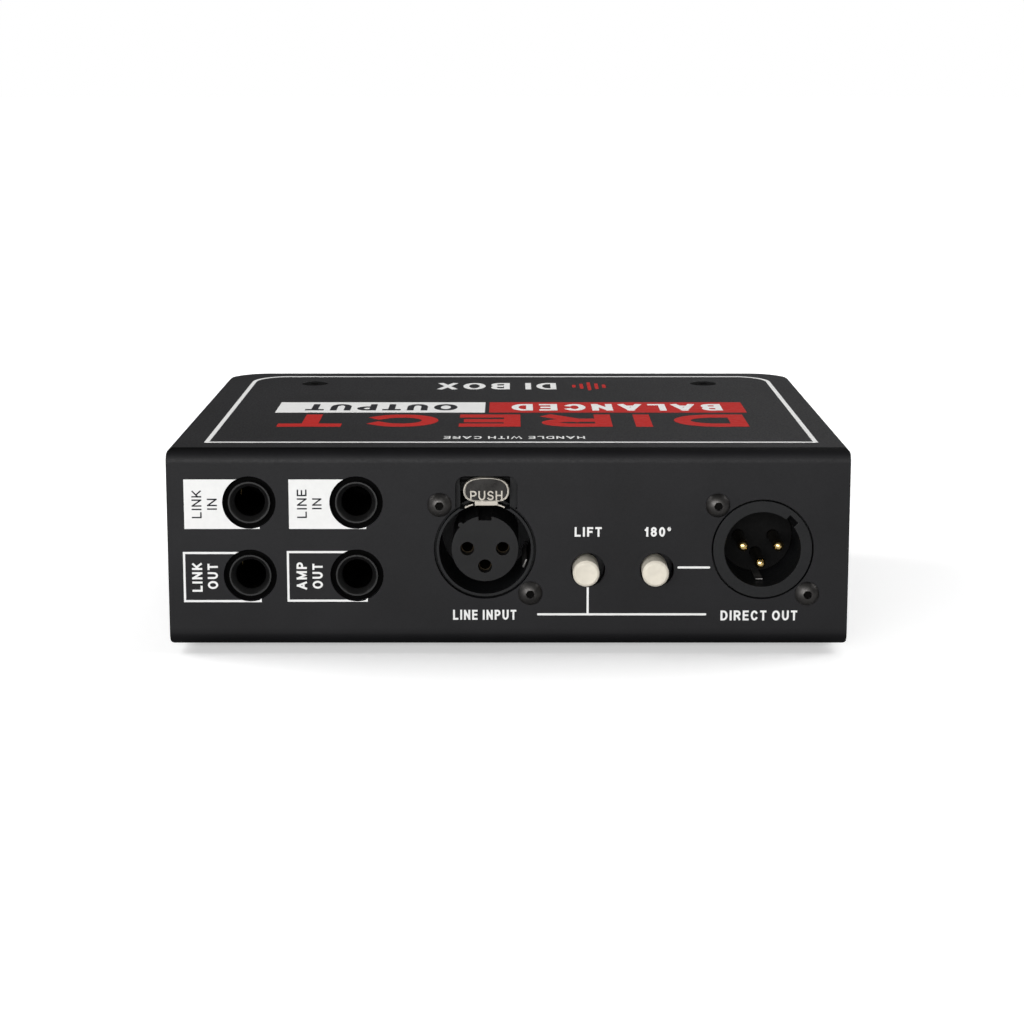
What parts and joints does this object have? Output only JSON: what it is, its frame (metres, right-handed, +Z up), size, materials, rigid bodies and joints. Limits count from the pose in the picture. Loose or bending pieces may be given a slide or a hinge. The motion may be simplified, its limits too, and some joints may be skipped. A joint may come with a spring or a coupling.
{
  "type": "direct injection box",
  "caption": "Low folded-steel direct injection box with jack sockets, balanced connectors and push buttons at the rear, and a level knob on a recessed front panel.",
  "frame": {"origin": "centre of the underside of the pad that the case stands on", "axes": "+X to the right when looking at the socket panel, +Y from the socket panel towards the front lips, +Z up"},
  "size_m": [0.146, 0.1057, 0.0447],
  "materials": {
    "painted_steel": "fine textured black powder coat",
    "neoprene": "matt foam rubber",
    "black_screw": "black oxide",
    "black_metal": "black chrome on die-cast zinc",
    "bright_steel": "bright zinc plate",
    "brass": "plated brass",
    "gold": "gold plate",
    "board": "green solder mask",
    "black_plastic": "moulded nylon",
    "cream_plastic": "smooth moulded",
    "white_plastic": "smooth moulded",
    "lens": "tinted clear epoxy",
    "lamination": "varnished sheets",
    "winding": "taped winding",
    "sleeve": "printed sleeve"
  },
  "bodies": {
    "enclosure": {"outer_shell": "painted_steel", "inner_chassis": "painted_steel", "base_pad": "neoprene", "top_screws": "black_screw", "bottom_screws": "black_screw", "main_board": "board", "upper_board": "board", "board_spacers": "brass", "base_standoffs": "bright_steel", "board_screws": "bright_steel", "board_header": "black_plastic", "link_in_jack": "black_plastic", "link_in_contacts": "brass", "link_out_jack": "black_plastic", "link_out_contacts": "brass", "line_in_jack": "black_plastic", "line_in_contacts": "brass", "amp_out_jack": "black_plastic", "amp_out_contacts": "brass", "input_jack": "black_plastic", "input_contacts": "brass", "thru_jack": "black_plastic", "thru_contacts": "brass", "female_shell": "black_metal", "female_insert": "black_plastic", "female_sockets": "gold", "latch_spring": "bright_steel", "female_ground_clip": "bright_steel", "male_shell": "black_metal", "male_insert": "black_plastic", "male_pins": "gold", "male_ground_clip": "bright_steel", "connector_screws": "black_screw", "lift_switch": "black_plastic", "lift_spring": "bright_steel", "phase_switch": "black_plastic", "phase_spring": "bright_steel", "pad_switch": "black_plastic", "pad_spring": "bright_steel", "filter_switch": "black_plastic", "filter_spring": "bright_steel", "level_pot": "bright_steel", "level_nut": "bright_steel", "power_led": "lens", "transformer_core": "lamination", "transformer_bobbin": "winding", "capacitors": "sleeve", "chips": "black_plastic"},
    "lift_button": {"lift_plunger": "white_plastic", "lift_cap": "cream_plastic"},
    "phase_button": {"phase_plunger": "white_plastic", "phase_cap": "cream_plastic"},
    "pad_button": {"pad_plunger": "white_plastic", "pad_cap": "cream_plastic"},
    "filter_button": {"filter_plunger": "white_plastic", "filter_cap": "cream_plastic"},
    "latch": {"female_latch": "bright_steel"},
    "level_control": {"level_shaft": "bright_steel", "level_knob": "black_plastic"}
  },
  "joints": [
    {"name": "lift_press", "type": "slide", "parent": "enclosure", "child": "lift_button", "axis": [0, 1, 0], "range_m": [0, 0.003], "stiffness_N_per_m": 300, "springref_m": -0.001, "deforming": ["lift_spring"]},
    {"name": "phase_press", "type": "slide", "parent": "enclosure", "child": "phase_button", "axis": [0, 1, 0], "range_m": [0, 0.003], "stiffness_N_per_m": 300, "springref_m": -0.001, "deforming": ["phase_spring"]},
    {"name": "pad_press", "type": "slide", "parent": "enclosure", "child": "pad_button", "axis": [0, -1, 0], "range_m": [0, 0.003], "stiffness_N_per_m": 300, "springref_m": -0.001, "deforming": ["pad_spring"]},
    {"name": "filter_press", "type": "slide", "parent": "enclosure", "child": "filter_button", "axis": [0, -1, 0], "range_m": [0, 0.003], "stiffness_N_per_m": 300, "springref_m": -0.001, "deforming": ["filter_spring"]},
    {"name": "latch_rock", "type": "hinge", "parent": "enclosure", "child": "latch", "pos_m": [-0.005, -0.0475, 0.0378], "axis": [1, 0, 0], "range_deg": [0, 8], "stiffness_Nm_per_rad": 0.05, "springref_deg": -5.73, "deforming": ["latch_spring"]},
    {"name": "level_turn", "type": "hinge", "parent": "enclosure", "child": "level_control", "pos_m": [0.032, 0.04, 0.0172], "axis": [0, 1, 0], "range_deg": [-150, 150]}
  ]
}
